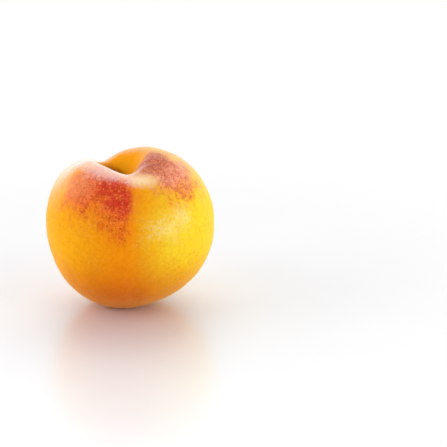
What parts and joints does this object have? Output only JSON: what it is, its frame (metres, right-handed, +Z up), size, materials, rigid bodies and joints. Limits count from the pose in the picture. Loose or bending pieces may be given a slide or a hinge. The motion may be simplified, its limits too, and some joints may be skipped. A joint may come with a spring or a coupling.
{
  "type": "peach",
  "caption": "Whole ripe yellow peach standing on its blossom end, with a red blush, a downy skin, a deep stem cavity and a suture down the front.",
  "frame": {"origin": "under the middle of the fruit's box, on the plane that the fruit stands on", "axes": "+Z up along the stem axis, -Y towards the suture, +X towards the fuller cheek"},
  "size_m": [0.0744, 0.0708, 0.0708],
  "materials": {
    "skin": "matt and downy, yellow-orange with a red blush round the suture and the stem cavity"
  },
  "bodies": {
    "root": {"peach": "skin"}
  },
  "joints": []
}
